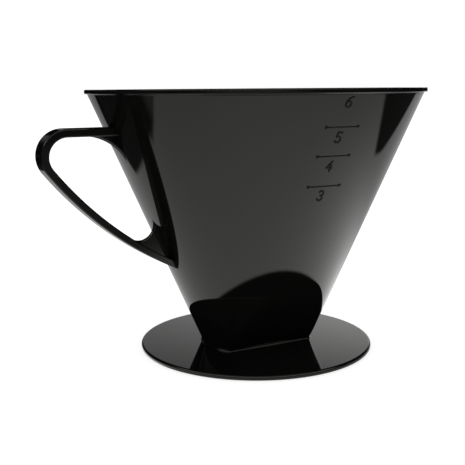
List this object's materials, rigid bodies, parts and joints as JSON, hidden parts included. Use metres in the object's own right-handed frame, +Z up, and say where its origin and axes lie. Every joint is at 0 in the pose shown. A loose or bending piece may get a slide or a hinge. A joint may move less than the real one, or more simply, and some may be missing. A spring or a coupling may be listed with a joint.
{
  "type": "pour-over coffee filter holder",
  "caption": "Glossy black plastic funnel for paper coffee filters, with wedge facets at its foot, a loop handle, a round foot disc, inner ribs, drain holes and raised cup marks.",
  "frame": {"origin": "middle of the foot's flat underside, on the funnel's axis", "axes": "+Z up along the funnel's axis, handle towards -X, cup marks and front facet towards -Y"},
  "size_m": [0.1623, 0.14, 0.1094],
  "materials": {
    "gloss_black": "polished black moulding"
  },
  "bodies": {
    "root": {"filter_cone": "gloss_black", "handle": "gloss_black", "base_disc": "gloss_black", "cup_marks": "gloss_black"}
  },
  "joints": []
}
